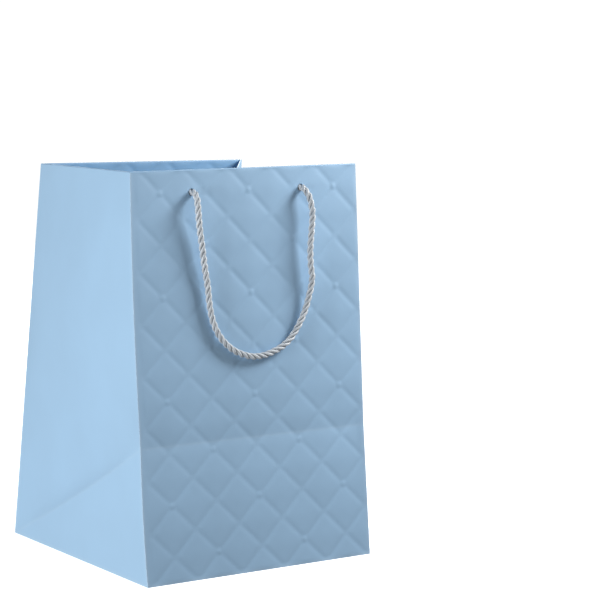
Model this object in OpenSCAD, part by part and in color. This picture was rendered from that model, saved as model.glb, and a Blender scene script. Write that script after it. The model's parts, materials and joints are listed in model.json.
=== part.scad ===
// Gift carrier bag of coated card paper: four walls folded from one sheet, a folded base with a
// loose card in it, turned-in hems with stiffening cards at the mouth, and two knotted rope handles.
// Millimetres. X runs across the front, the front faces -Y, and the origin is the middle of the base.

/* [Sheet] */
// Width of the front and of the back wall
bag_w = 200; // [160:5:280]
// Width of each side gusset, which is the depth of the base
bag_d = 200; // [160:5:260]
// Height of the walls, measured along the paper
panel_h = 300; // [250:5:420]
// Thickness of the laminated paper
paper_t = 0.4; // [0.3:0.05:0.6]
// Slack between two leaves of paper that lie on each other
leaf_gap = 0.1; // [0.05:0.05:0.2]

/* [Opened shape] */
// How far the crease across the front sits behind the front edge of the base
crease_set_back = 12; // [4:1:20]
// How far the front rim sits behind the front edge of the base
rim_set_back = 30; // [22:1:45]
// How far the left end of the back rim has moved towards +X
back_rim_shift_left = 22; // [5:1:30]
// How far the right end of the back rim has moved towards +X
back_rim_shift_right = 10; // [0:1:20]
// Height of the left end of the back rim below the full wall height
back_rim_drop_left = 9; // [4:0.5:14]
// Height of the right end of the back rim below the full wall height
back_rim_drop_right = 11.5; // [4:0.5:16]
// How far the middle of the right gusset is folded in at the rim
gusset_fold_in = 57; // [20:1:70]
// How far the fold of the right gusset hangs below the back rim
gusset_fold_drop = 3; // [1:0.5:8]

/* [Mouth] */
// Depth of the turned-in hem
hem_h = 40; // [32:1:50]
// Distance from the rim to the top of the hem and its card
hem_drop = 2; // [1:0.5:4]
// Distance from the ends of a wall to its hem
hem_end_gap = 4; // [3:0.5:8]
// Height of the stiffening card in a hem
rim_card_h = 36; // [28:1:46]
// Thickness of the stiffening card
rim_card_t = 1.0; // [0.6:0.1:1.4]

/* [Handles] */
// Thickness of the twisted rope
rope_d = 5; // [4:0.5:6]
// Distance between the two holes of one handle
hole_spacing = 97; // [80:1:120]
// Distance from the rim down to the holes
hole_drop = 16.5; // [12:0.5:22]
// Slack between the rope and the edge of its hole
hole_clearance = 0.5; // [0.3:0.1:1]
// Width of a knot
knot_d = 13; // [10:0.5:15]
// Length of the rope's tail below a knot
tail_length = 13; // [6:1:20]

/* [Base] */
// How far the front and back base flaps reach past the middle of the base
flap_overlap = 10; // [4:1:25]
// How far the two side flaps reach in under the card
side_flap_reach = 60; // [30:1:75]
// Width of the glued seam flap
seam_w = 15; // [10:1:25]
// Thickness of the loose base card
base_card_t = 1.2; // [0.8:0.1:2]
// Slack all round the base card, which leaves room for its edge to be lifted
base_card_gap = 5; // [4:0.5:8]
// Slack between the base flaps and the walls around them
flap_gap = 0.3; // [0.2:0.1:1]
// Distance from the ends of the seam flap to the hem above it and to the base card below it
seam_end_gap = 5; // [3:0.5:10]

/* [Hidden] */
$fn = 48;

PAPER_BLUE = [0.60, 0.74, 0.86];
INSIDE_BLUE = [0.45, 0.62, 0.76];
CARD_GREY = [0.72, 0.71, 0.68];
ROPE_SILVER = [0.78, 0.80, 0.82];

// A bag like this folds flat along a crease that is half the base depth up the front wall.
crease_h = bag_d / 2;
crease_z = sqrt(pow(crease_h, 2) - pow(crease_set_back, 2));
upper_h = panel_h - crease_h;
upper_back = rim_set_back - crease_set_back;
rim_z = crease_z + sqrt(pow(upper_h, 2) - pow(upper_back, 2));
front_lean = asin(upper_back / upper_h);

// Corners of the outer faces. The first letter is Front or Back, the second Left or Right.
FL_BASE = [-bag_w / 2, -bag_d / 2, 0];
FR_BASE = [bag_w / 2, -bag_d / 2, 0];
BL_BASE = [-bag_w / 2, bag_d / 2, 0];
BR_BASE = [bag_w / 2, bag_d / 2, 0];
FL_CREASE = FL_BASE + [0, crease_set_back, crease_z];
FR_CREASE = FR_BASE + [0, crease_set_back, crease_z];
FL_RIM = FL_BASE + [0, rim_set_back, rim_z];
FR_RIM = FR_BASE + [0, rim_set_back, rim_z];
BL_RIM = BL_BASE + [back_rim_shift_left, 0, panel_h - back_rim_drop_left];
BR_RIM = BR_BASE + [back_rim_shift_right, 0, panel_h - back_rim_drop_right];

// The gussets stand between the front and back walls, so their edges stop one leaf short of them.
wall_inset = paper_t + leaf_gap;
BEHIND = [0, wall_inset, 0];
AHEAD = [0, -wall_inset, 0];

// The right gusset has a fold that runs from the middle of its lower crease up to the rim.
RIGHT_FOLD_BASE = (FR_CREASE + BR_BASE) / 2;
RIGHT_FOLD_RIM = [
    (FR_RIM[0] + BR_RIM[0]) / 2 - gusset_fold_in,
    (FR_RIM[1] + BR_RIM[1]) / 2,
    BR_RIM[2] - gusset_fold_drop
];

// Depths below the outer face at which the leaves of the hem lie.
card_depth = paper_t + leaf_gap;
hem_depth = card_depth + rim_card_t + leaf_gap;
wall_depth = hem_depth + paper_t;
hole_d = rope_d + 2 * hole_clearance;
back_rim_w = BR_RIM[0] - BL_RIM[0];
back_rim_z = (BL_RIM[2] + BR_RIM[2]) / 2;

// Heights of the leaves of the base, from the ground up.
front_flap_z = paper_t + leaf_gap;
side_flap_z = front_flap_z + paper_t + leaf_gap;
// Slack between pieces that move against each other
moving_gap = 0.4;
base_card_z = side_flap_z + paper_t + moving_gap;
// The base flaps stop this far inside the outer faces, which clears the leaning front wall too.
flap_inset = wall_inset + flap_gap;

// Route of a handle's rope in front of its wall: across, out from the wall, down from the holes.
HANDLE_ROUTE = [
    [-48.5, 6.5, 2], [-49.2, 8.5, 5], [-49.5, 9, 10], [-47.5, 7.5, 26], [-45, 6.2, 41],
    [-43, 5.2, 55], [-40.5, 4.4, 69], [-39, 3.8, 83], [-36, 3.4, 96], [-29.5, 3.2, 108],
    [-19.5, 3.2, 117], [-8, 3.2, 122], [2, 3.2, 123.5], [13, 3.2, 122], [27.5, 3.3, 116],
    [37, 3.7, 106.5], [44.5, 4.5, 94], [49, 5.5, 81], [51.5, 6.5, 69], [50.2, 7.3, 58],
    [49.8, 8.2, 46], [51, 9, 33], [52.5, 9.3, 19], [51.3, 9, 10], [49.7, 8.5, 5], [48.5, 6.5, 2]
];
ROPE_SIDES = 10;
// The stub that a knot leaves in its hole ends this far outside the wall.
stub_out = 1;
// How far a cutting tool runs past the faces that it cuts
overrun = 1;

// A leaf of paper over an outline of corner points, set back by a depth along one direction.
// faces lists each facet's corners, clockwise as seen from outside, and rim the outline in order.
module leaf(points, faces, rim, inward, depth, thickness) {
    n = len(points);
    outer = [for (p = points) p + inward * depth];
    inner = [for (p = points) p + inward * (depth + thickness)];
    sides = [for (i = [0:len(rim) - 1]) let (a = rim[i], b = rim[(i + 1) % len(rim)]) [a, b, b + n, a + n]];
    back = [for (f = faces) [for (i = [len(f) - 1:-1:0]) f[i] + n]];
    polyhedron(concat(outer, inner), concat(faces, back, sides), convexity = 6);
}

// A plain tube along a list of points, with one ring of corners at each point.
module tube(points, diameter, sides) {
    last = len(points) - 1;
    function heading(i) =
        let (step = points[min(i + 1, last)] - points[max(i - 1, 0)]) step / norm(step);
    function ring(i) =
        let (
            along = heading(i),
            side = cross(along, [0, 1, 0]),
            u = side / norm(side),
            v = cross(along, u),
            turn = 360 / sides
        )
        [for (k = [0:sides - 1]) points[i] + diameter / 2 * (cos(k * turn) * u + sin(k * turn) * v)];
    corners = [for (i = [0:last]) each ring(i)];
    walls = [
        for (i = [0:last - 1], k = [0:sides - 1])
            let (a = i * sides + k, b = i * sides + (k + 1) % sides)
            each [[a, b, b + sides], [a, b + sides, a + sides]]
    ];
    first_cap = [for (k = [sides - 1:-1:0]) k];
    last_cap = [for (k = [0:sides - 1]) last * sides + k];
    polyhedron(corners, concat([first_cap], walls, [last_cap]), convexity = 8);
}

// Frames of the two walls that carry handles: rim middle at the origin, +Y inwards, +Z up the wall.
module on_front() {
    translate([0, FL_RIM[1], rim_z]) rotate([-front_lean, 0, 0]) children();
}
module on_back() {
    translate([(BL_RIM[0] + BR_RIM[0]) / 2, bag_d / 2, back_rim_z])
        rotate([0, 0, 180]) children();
}

// The two rope holes, cut through every leaf down to the given depth.
module rope_holes() {
    for (side = [-1, 1])
        translate([side * hole_spacing / 2, -overrun, -hole_drop])
            rotate([-90, 0, 0]) cylinder(h = wall_depth + 2 * overrun, d = hole_d);
}

module rim_strip(width, height, depth, thickness) {
    difference() {
        translate([-width / 2, depth, -hem_drop - height]) cube([width, thickness, height]);
        rope_holes();
    }
}

module front_panel() {
    color(PAPER_BLUE)
        difference() {
            translate([bag_w / 2, 0, 0]) rotate([90, 0, -90])
                linear_extrude(bag_w)
                    polygon([
                        [-FL_BASE[1], 0], [-FL_CREASE[1], crease_z], [-FL_RIM[1], rim_z],
                        [-FL_RIM[1] - paper_t, rim_z], [-FL_CREASE[1] - paper_t, crease_z],
                        [-FL_BASE[1] - paper_t, 0]
                    ]);
            on_front() rope_holes();
        }
}

module back_panel() {
    color(PAPER_BLUE)
        difference() {
            translate([0, bag_d / 2, 0]) rotate([90, 0, 0])
                linear_extrude(paper_t)
                    polygon([
                        [BL_BASE[0], 0], [BR_BASE[0], 0], [BR_RIM[0], BR_RIM[2]], [BL_RIM[0], BL_RIM[2]]
                    ]);
            on_back() rope_holes();
        }
}

// The left gusset is nearly flat: one crease runs from its back base corner to the front crease.
module left_gusset() {
    color(PAPER_BLUE)
        leaf(
            [BL_BASE + AHEAD, FL_BASE + BEHIND, FL_CREASE + BEHIND, FL_RIM + BEHIND, BL_RIM + AHEAD],
            [[2, 1, 0], [4, 2, 0], [4, 3, 2]],
            [0, 1, 2, 3, 4], [1, 0, 0], 0, paper_t
        );
}

// The right gusset has the same crease, and above it the fold in its middle.
module right_gusset() {
    color(PAPER_BLUE)
        leaf(
            [
                BR_BASE + AHEAD, FR_BASE + BEHIND, FR_CREASE + BEHIND, FR_RIM + BEHIND,
                BR_RIM + AHEAD, RIGHT_FOLD_BASE, RIGHT_FOLD_RIM
            ],
            [[0, 1, 5], [1, 2, 5], [2, 3, 5], [3, 6, 5], [5, 6, 4], [5, 4, 0]],
            [4, 6, 3, 2, 1, 0], [-1, 0, 0], 0, paper_t
        );
}

// The strip that glues the left gusset's edge to the inside of the back wall.
module seam_flap() {
    top = back_rim_z - hem_drop - hem_h - seam_end_gap;
    foot = base_card_z + base_card_t + seam_end_gap;
    edge_slope = back_rim_shift_left / BL_RIM[2];
    function edge_x(z) = BL_BASE[0] + edge_slope * z + paper_t + leaf_gap;
    color(INSIDE_BLUE)
        translate([0, bag_d / 2 - wall_inset, 0]) rotate([90, 0, 0])
            linear_extrude(paper_t)
                polygon([
                    [edge_x(foot), foot], [edge_x(foot) + seam_w, foot],
                    [edge_x(top) + seam_w, top], [edge_x(top), top]
                ]);
}

module front_hem() {
    color(INSIDE_BLUE) on_front() rim_strip(bag_w - 2 * hem_end_gap, hem_h, hem_depth, paper_t);
}
module back_hem() {
    color(INSIDE_BLUE) on_back() rim_strip(back_rim_w - 2 * hem_end_gap, hem_h, hem_depth, paper_t);
}
module front_rim_card() {
    color(CARD_GREY) on_front() rim_strip(bag_w - 2 * hem_end_gap, rim_card_h, card_depth, rim_card_t);
}
module back_rim_card() {
    color(CARD_GREY) on_back() rim_strip(back_rim_w - 2 * hem_end_gap, rim_card_h, card_depth, rim_card_t);
}

// A point a given way along the line from a to b.
function toward(a, b, way) = a + (b - a) * way / norm(b - a);

// The top and foot of a hem along the line from a rim point down to the foot of its stretch.
function hem_line(rim, foot) = [toward(rim, foot, hem_drop), toward(rim, foot, hem_h)];

// The end of a hem at a rim corner, from which the gusset bends along a diagonal: its top, its
// foot, and the point between them where its lower edge crosses that bend.
function hem_corner(corner, corner_foot, bend_foot) =
    let (
        crossing = corner + (bend_foot - corner) * hem_h / (corner[2] - bend_foot[2]),
        low = toward(corner, corner_foot, hem_h)
    )
    [toward(corner, bend_foot, hem_end_gap), toward(low, crossing, hem_end_gap), crossing];

module gusset_hem(points, faces, rim, inward) {
    color(INSIDE_BLUE) leaf(points, faces, rim, inward, 2 * wall_inset, paper_t);
}

module left_hem() {
    back_end = hem_corner(BL_RIM, BL_BASE, FL_CREASE);
    front_rim = toward(FL_RIM, BL_RIM, hem_end_gap);
    front_end = hem_line(front_rim, front_rim + FL_CREASE - FL_RIM);
    gusset_hem(concat(back_end, front_end), [[0, 3, 4, 2], [0, 2, 1]], [0, 1, 2, 4, 3], [1, 0, 0]);
}

module right_hem() {
    front_end = hem_corner(FR_RIM, FR_CREASE, RIGHT_FOLD_BASE);
    back_end = hem_corner(BR_RIM, BR_BASE, RIGHT_FOLD_BASE);
    fold = hem_line(RIGHT_FOLD_RIM, RIGHT_FOLD_BASE);
    gusset_hem(
        concat(front_end, back_end, fold),
        [[0, 6, 7, 2], [0, 2, 1], [6, 3, 5, 7], [3, 4, 5]],
        [0, 1, 2, 7, 5, 4, 3, 6], [-1, 0, 0]
    );
}

module base_leaf(from_y, to_y, z) {
    half = bag_w / 2 - flap_inset;
    translate([-half, from_y, z]) cube([2 * half, to_y - from_y, paper_t]);
}
module back_base_flap() {
    color(PAPER_BLUE) base_leaf(-flap_overlap, bag_d / 2 - flap_inset, 0);
}
module front_base_flap() {
    color(PAPER_BLUE) base_leaf(flap_inset - bag_d / 2, flap_overlap, front_flap_z);
}

// A side flap narrows at 45 degrees from the folded corners of the base.
module side_flap() {
    outer = bag_w / 2 - flap_inset;
    half = bag_d / 2 - flap_inset;
    color(INSIDE_BLUE)
        translate([0, 0, side_flap_z])
            linear_extrude(paper_t)
                polygon([
                    [outer, -half], [outer, half],
                    [outer - side_flap_reach, half - side_flap_reach],
                    [outer - side_flap_reach, side_flap_reach - half]
                ]);
}
module right_base_flap() {
    side_flap();
}
module left_base_flap() {
    mirror([1, 0, 0]) side_flap();
}

module base_card() {
    width = bag_w - 2 * base_card_gap;
    depth = bag_d - 2 * base_card_gap;
    color(CARD_GREY)
        translate([-width / 2, -depth / 2, base_card_z]) cube([width, depth, base_card_t]);
}

module handle() {
    path = [for (p = HANDLE_ROUTE) [p[0], -p[1], -hole_drop - p[2]]];
    color(ROPE_SILVER) tube(path, rope_d, ROPE_SIDES);
}
module front_handle() {
    on_front() handle();
}
module back_handle() {
    on_back() handle();
}

// An overhand knot behind the hem, its stub in the hole and its tail hanging down the wall.
module knot(side) {
    knot_depth = wall_depth + leaf_gap;
    color(ROPE_SILVER)
        translate([side * hole_spacing / 2, 0, -hole_drop]) {
            translate([0, -stub_out, 0]) rotate([-90, 0, 0])
                cylinder(h = stub_out + knot_depth + knot_d / 2, d = rope_d);
            translate([0, knot_depth + knot_d / 2, 0]) sphere(d = knot_d);
            translate([0, knot_depth + knot_d / 2, -knot_d / 2 - tail_length])
                cylinder(h = tail_length + knot_d / 2, d = rope_d);
        }
}
module front_left_knot() {
    on_front() knot(-1);
}
module front_right_knot() {
    on_front() knot(1);
}
module back_left_knot() {
    on_back() knot(1);
}
module back_right_knot() {
    on_back() knot(-1);
}

front_panel();
back_panel();
left_gusset();
right_gusset();
seam_flap();
front_hem();
back_hem();
left_hem();
right_hem();
front_rim_card();
back_rim_card();
front_base_flap();
back_base_flap();
left_base_flap();
right_base_flap();
base_card();
front_handle();
back_handle();
front_left_knot();
front_right_knot();
back_left_knot();
back_right_knot();
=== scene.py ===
"""Looks of a square-based paper gift bag with quilted walls and twisted rope handles.

The bag is one folded sheet. Each wall is a surface of two parameters, u along the wall and v from
the base (0) to the rim (1). The walls follow each other anticlockwise as seen from above, so that
u cross v points out.
"""

from __future__ import annotations

import json
import logging
import math
from abc import ABC, abstractmethod
from dataclasses import dataclass, field
from enum import Enum
from functools import partial
from typing import Any, Callable, Sequence

import bpy
import numpy as np
from mathutils import Matrix, Vector

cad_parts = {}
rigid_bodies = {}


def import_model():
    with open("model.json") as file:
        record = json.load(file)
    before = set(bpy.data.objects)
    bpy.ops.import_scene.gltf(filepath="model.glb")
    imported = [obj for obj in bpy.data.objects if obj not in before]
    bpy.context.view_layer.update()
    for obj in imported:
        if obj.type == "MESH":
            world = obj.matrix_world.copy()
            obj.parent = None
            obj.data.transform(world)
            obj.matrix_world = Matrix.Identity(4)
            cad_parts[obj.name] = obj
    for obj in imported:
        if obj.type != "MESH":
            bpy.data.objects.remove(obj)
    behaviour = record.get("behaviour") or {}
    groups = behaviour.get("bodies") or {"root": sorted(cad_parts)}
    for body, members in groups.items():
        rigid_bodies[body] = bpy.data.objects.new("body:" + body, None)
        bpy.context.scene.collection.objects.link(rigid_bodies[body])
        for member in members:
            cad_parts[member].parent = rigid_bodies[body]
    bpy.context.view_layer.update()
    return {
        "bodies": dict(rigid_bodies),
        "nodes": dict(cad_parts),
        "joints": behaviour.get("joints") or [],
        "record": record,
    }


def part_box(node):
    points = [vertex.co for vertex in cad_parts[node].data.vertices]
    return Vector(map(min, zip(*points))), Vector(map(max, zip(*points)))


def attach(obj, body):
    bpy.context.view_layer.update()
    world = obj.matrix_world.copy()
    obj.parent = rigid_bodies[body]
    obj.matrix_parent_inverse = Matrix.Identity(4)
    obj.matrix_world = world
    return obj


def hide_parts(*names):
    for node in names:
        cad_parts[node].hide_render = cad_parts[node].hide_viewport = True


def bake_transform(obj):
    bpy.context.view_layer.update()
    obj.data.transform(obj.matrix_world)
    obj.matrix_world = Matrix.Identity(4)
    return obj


LOG = logging.getLogger("gift_bag")
MM = 0.001
Array = np.ndarray


class Body(str, Enum):
    """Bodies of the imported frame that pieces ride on."""

    BAG = "bag"
    FRONT_HANDLE = "front_handle"
    BACK_HANDLE = "back_handle"
    BASE_CARD = "base_card"


class Slot(str, Enum):
    """Material slots of the record."""

    EMBOSSED = "embossed_paper"
    PLAIN = "plain_paper"
    INSIDE = "inside_paper"
    BOARD = "grey_board"
    ROPE = "silver_rope"


# --- Small helpers -------------------------------------------------------------------------------


def linear(hex_colour: str) -> tuple[float, float, float, float]:
    """Turns an sRGB hex colour into linear RGBA.

    Args:
        hex_colour: Six hex digits with a leading hash.

    Returns:
        Linear red, green, blue and an alpha of one.
    """
    srgb = np.array([int(hex_colour[i : i + 2], 16) for i in (1, 3, 5)]) / 255
    toe, curve = srgb / 12.92, ((srgb + 0.055) / 1.055) ** 2.4
    return (*np.where(srgb <= 0.04045, toe, curve).tolist(), 1.0)


def smoothstep(low: float, high: float, value: Array) -> Array:
    """Rises from 0 at low to 1 at high as 3t^2 - 2t^3."""
    t = np.clip((value - low) / (high - low), 0, 1)
    return t * t * (3 - 2 * t)


def unit(vectors: Array) -> Array:
    """Scales vectors along the last axis to length one."""
    return vectors / np.maximum(np.linalg.norm(vectors, axis=-1, keepdims=True), 1e-12)


def mix(a: Array, b: Array, t: Array) -> Array:
    """Straight line from a to b: a(1 - t) + bt, for arrays of points."""
    t = np.asarray(t)[..., None]
    return a * (1 - t) + b * t


def new_object(
    name: str, vertices: Array, faces: Sequence[Array], sharp_deg: float = 40
) -> bpy.types.Object:
    """Makes a smooth-shaded mesh object at the origin.

    Args:
        name: Name of the object and its mesh.
        vertices: Points, (n, 3), in metres.
        faces: Face tables, each (k, corners).
        sharp_deg: Edges bent more than this stay sharp.

    Returns:
        The new object, linked to the scene.
    """
    mesh = bpy.data.meshes.new(name)
    rows = [row for table in faces for row in table.tolist()]
    mesh.from_pydata(vertices.reshape(-1, 3).tolist(), [], rows)
    mesh.update()
    mesh.shade_smooth()
    mesh.set_sharp_from_angle(angle=math.radians(sharp_deg))
    piece = bpy.data.objects.new(name, mesh)
    bpy.context.scene.collection.objects.link(piece)
    return piece


def set_attribute(piece: bpy.types.Object, name: str, values: Array) -> None:
    """Stores one number for each vertex under a name that materials can read."""
    layer = piece.data.attributes.new(name, "FLOAT", "POINT")
    layer.data.foreach_set("value", np.ascontiguousarray(values, dtype=np.float32).ravel())


def thick_sheet(
    name: str, outer: Array, inner: Array, keep: Array | None = None
) -> tuple[bpy.types.Object, Array]:
    """Closes two grids of points into one thin solid, with walls along every open edge.

    Args:
        name: Name of the object.
        outer: Outer face, (columns, rows, 3), whose u cross v points out.
        inner: Inner face, the same shape.
        keep: Cells that exist, (columns - 1, rows - 1), or None for all of them.

    Returns:
        The object, and the index of each of its vertices in the two grids laid end to end.
    """
    columns, rows = outer.shape[:2]
    index = np.arange(columns * rows).reshape(columns, rows)
    keep = np.ones((columns - 1, rows - 1), bool) if keep is None else keep
    corners = [index[:-1, :-1], index[1:, :-1], index[1:, 1:], index[:-1, 1:]]
    cells = np.stack(corners, axis=-1)[keep]
    edges = np.concatenate([cells[:, [i, (i + 1) % 4]] for i in range(4)])
    key = edges.min(axis=1) * columns * rows + edges.max(axis=1)
    _, where, count = np.unique(key, return_index=True, return_counts=True)
    rim = edges[where[count == 1]]
    size = columns * rows
    walls = np.stack([rim[:, 1], rim[:, 0], rim[:, 0] + size, rim[:, 1] + size], axis=-1)
    faces = np.concatenate([cells, cells[:, ::-1] + size, walls])
    used, renumbered = np.unique(faces, return_inverse=True)
    vertices = np.concatenate([outer.reshape(-1, 3), inner.reshape(-1, 3)])[used]
    return new_object(name, vertices, [renumbered.reshape(faces.shape)]), used


def dress(
    piece: bpy.types.Object, material: bpy.types.Material, body: Body | None
) -> None:
    """Gives a piece its material, and lets it ride on a body.

    Args:
        piece: New piece.
        material: Its finish.
        body: Body that it rides on, or None for a piece that rides on no body.
    """
    piece.data.materials.clear()
    piece.data.materials.append(material)
    if body is not None:
        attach(piece, body.value)
    LOG.info("%s: %d faces, %s", piece.name, len(piece.data.polygons), material.name)


# --- Form of the bag -----------------------------------------------------------------------------


@dataclass(frozen=True)
class BagForm:
    """Upright edges of the opened bag. Each goes from the base (v = 0) to the rim (v = 1).

    bow_below is the share of the left edge's bow that it keeps below the crease.
    """

    panel_height: float = 300 * MM
    paper: float = 0.4 * MM
    crease_height: float = 100 * MM
    crease_set_back: float = 12 * MM
    back_rim_shift_left: float = 22 * MM
    back_rim_drop_right: float = 2.5 * MM
    fold_in: float = 57 * MM
    fold_drop: float = 8 * MM
    edge_bow: float = 1.4 * MM
    bow_below: float = 0.6

    @property
    def crease(self) -> float:
        """Share of the wall's height at which the flat-fold crease crosses the front."""
        return self.crease_height / self.panel_height

    def low(self, node: str) -> Array:
        """Lowest corner of a node of the frame."""
        return np.array(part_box(node)[0])

    def high(self, node: str) -> Array:
        """Highest corner of a node of the frame."""
        return np.array(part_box(node)[1])

    def front_edge(self, side: int, v: Array) -> Array:
        """Edge of the front wall: base to crease to rim in two straight runs, bowed at the left.

        Args:
            side: -1 for the left edge, 1 for the right one.
            v: Shares of the height.

        Returns:
            Points, shaped as v with a last axis of three.
        """
        low, high = self.low("front_panel"), self.high("front_panel")
        x = side * high[0]
        crease_z = math.sqrt(self.crease_height**2 - self.crease_set_back**2)
        base = np.array([x, low[1], 0])
        crease = np.array([x, low[1] + self.crease_set_back, crease_z])
        rim = np.array([x, high[1] - self.paper, high[2]])
        below = np.clip(v / self.crease, 0, 1)
        above = np.clip((v - self.crease) / (1 - self.crease), 0, 1)
        lower = v < self.crease
        points = np.where(lower[..., None], mix(base, crease, below), mix(crease, rim, above))
        bow = np.where(lower, self.bow_below * np.sin(np.pi * below), np.sin(np.pi * above))
        points[..., 0] -= self.edge_bow * bow * (side < 0)
        return points

    def back_edge(self, side: int, v: Array) -> Array:
        """Edge of the back wall, straight from the base to a rim that has moved to the right.

        Args:
            side: -1 for the left edge, 1 for the right one.
            v: Shares of the height.

        Returns:
            Points, shaped as v with a last axis of three.
        """
        high = self.high("back_panel")
        base_x = self.high("front_panel")[0]
        base = np.array([side * base_x, high[1], 0])
        left_rim = np.array([self.back_rim_shift_left - base_x, high[1], high[2]])
        right_rim = np.array([high[0], high[1], high[2] - self.back_rim_drop_right])
        return mix(base, left_rim if side < 0 else right_rim, v)


@dataclass
class Quilting:
    """Blind-embossed diamonds: broad pillows between narrow grooves, with buttons at crossings."""

    half_width: float = 38.5 * MM
    half_height: float = 37.8 * MM
    first_row: float = 16.5 * MM
    groove_width: float = 2.1 * MM
    lip: float = 0.32 * MM
    crown: float = 0.3 * MM
    button_radius: float = 2.3 * MM
    button_height: float = 0.42 * MM
    dimple_radius: float = 4.2 * MM
    dome_power: float = 0.7

    def height(self, x: Array, drop: Array) -> Array:
        """Height of the relief over the sheet.

        With p = x/w + s/h and q = x/w - s/h, grooves run where p or q is whole. The relief is
        crown * sin^2(pi p) * sin^2(pi q) - lip * (1 - (1 - g(p)) * (1 - g(q))), where g is a bell
        curve of the distance to the nearest groove. Where p and q are both even there is a dome in
        a dimple: button_height * (1 - d^2 / button_radius^2)^dome_power at distance d from it.

        Args:
            x: Distance across the wall from its middle.
            drop: Distance down the wall from the rim.

        Returns:
            Heights in metres, below zero in the grooves.
        """
        across, down = x / self.half_width, (drop - self.first_row) / self.half_height
        p, q = across + down, across - down
        spacing = 1 / math.hypot(1 / self.half_width, 1 / self.half_height)
        groove_p, groove_q = (
            np.exp(-((np.abs(k - np.round(k)) * spacing / self.groove_width) ** 2)) for k in (p, q)
        )
        pillow = self.crown * np.sin(np.pi * p) ** 2 * np.sin(np.pi * q) ** 2
        relief = pillow - self.lip * (1 - (1 - groove_p) * (1 - groove_q))
        even_p, even_q = 2 * np.round(p / 2), 2 * np.round(q / 2)
        button_x = self.half_width * (even_p + even_q) / 2
        button_drop = self.first_row + self.half_height * (even_p - even_q) / 2
        distance = np.hypot(x - button_x, drop - button_drop)
        dimple = 1 - np.exp(-((distance / self.dimple_radius) ** 2))
        rise = np.clip(1 - (distance / self.button_radius) ** 2, 0, 1) ** self.dome_power
        return relief * dimple - self.lip * (1 - dimple) + self.button_height * rise


class Wall(ABC):
    """One wall of the bag, a surface over u along the wall and v up it.

    step is the difference in u and v that normals are worked out with.
    """

    step: float = 2e-3

    def __init__(self, form: BagForm) -> None:
        """Keeps the form whose edges the wall spans."""
        self.form = form

    @abstractmethod
    def sheet(self, u: Array, v: Array) -> Array:
        """Point of the outer face at (u, v), before any embossing."""

    def relief(self, u: Array, v: Array) -> Array:
        """Height of the embossing at (u, v); a plain wall has none."""
        return np.zeros(np.broadcast(u, v).shape)

    def place(self, u: Array, v: Array) -> Array:
        """Point of the outer face at (u, v): the sheet, raised along its normal by the relief."""
        return self.sheet(u, v) + self.relief(u, v)[..., None] * self.sheet_normal(u, v)

    def sheet_normal(self, u: Array, v: Array) -> Array:
        """Outward normal of the sheet itself."""
        return self.cross(self.sheet, u, v)

    def normal(self, u: Array, v: Array) -> Array:
        """Outward normal of the embossed face."""
        return self.cross(self.place, u, v)

    def cross(self, surface: Callable[[Array, Array], Array], u: Array, v: Array) -> Array:
        """Unit cross product of a surface's differences along u and along v, inside the wall.

        Args:
            surface: Function from (u, v) to points.
            u: Shares of the width.
            v: Shares of the height.

        Returns:
            Unit vectors that point out of the bag.
        """
        h = self.step
        u0, u1 = np.clip(u - h, 0, 1), np.clip(u + h, 0, 1)
        v0, v1 = np.clip(v - h, 0, 1), np.clip(v + h, 0, 1)
        along = surface(u1, v) - surface(u0, v)
        up = surface(u, v1) - surface(u, v0)
        return unit(np.cross(along, up))


class FrontWall(Wall):
    """Front wall with its quilting and the flat-fold crease, pressed in a little."""

    crease_depth: float = 0.9 * MM
    crease_reach: float = 13 * MM
    crease_round: float = 0.8 * MM
    facing: int = 1
    margin: tuple[float, float] = (2.5 * MM, 6.5 * MM)
    narrow_margin: tuple[float, float] = (0.4 * MM, 2.6 * MM)
    pattern_shift: float = 1.5 * MM
    crease_ends: float = 0.04
    quilting = Quilting()

    def base_line(self, u: Array, v: Array) -> Array:
        """Straight line across from the left edge to the right one."""
        return mix(self.form.front_edge(-1, v), self.form.front_edge(1, v), u)

    def width_at(self, v: Array) -> Array:
        """Width of the wall along each row."""
        ends = [self.base_line(np.full_like(v, end), v) for end in (0, 1)]
        return np.linalg.norm(ends[1] - ends[0], axis=-1)

    def inset(self, u: Array, v: Array) -> Array:
        """Depth of the crease, a valley that fades as exp(-distance / reach), round at the bottom.

        Args:
            u: Shares of the width.
            v: Shares of the height.

        Returns:
            Depths, which run out at both side folds.
        """
        distance = np.hypot((v - self.form.crease) * self.form.panel_height, self.crease_round)
        ends = smoothstep(0, self.crease_ends, u) * smoothstep(0, self.crease_ends, 1 - u)
        return self.crease_depth * np.exp(-distance / self.crease_reach) * ends

    def relief(self, u: Array, v: Array) -> Array:
        """Quilting that fades out towards the folds at the sides, the base and the rim.

        Args:
            u: Shares of the width.
            v: Shares of the height.

        Returns:
            Heights over the sheet, times a smoothstep of the distance to each fold.
        """
        width = self.width_at(v)
        from_end = np.minimum(v, 1 - v) * self.form.panel_height
        fade = smoothstep(*self.margin, u * width)
        fade = fade * smoothstep(*self.narrow_margin, (1 - u) * width)
        fade = fade * smoothstep(*self.narrow_margin, from_end)
        across = (u - 0.5) * width - self.pattern_shift
        return self.quilting.height(across, (1 - v) * self.form.panel_height) * fade

    def sheet(self, u: Array, v: Array) -> Array:
        """Edge-to-edge line, pressed in at the crease."""
        line = self.base_line(u, v)
        line[..., 1] += self.facing * self.inset(u, v)
        return line


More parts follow.
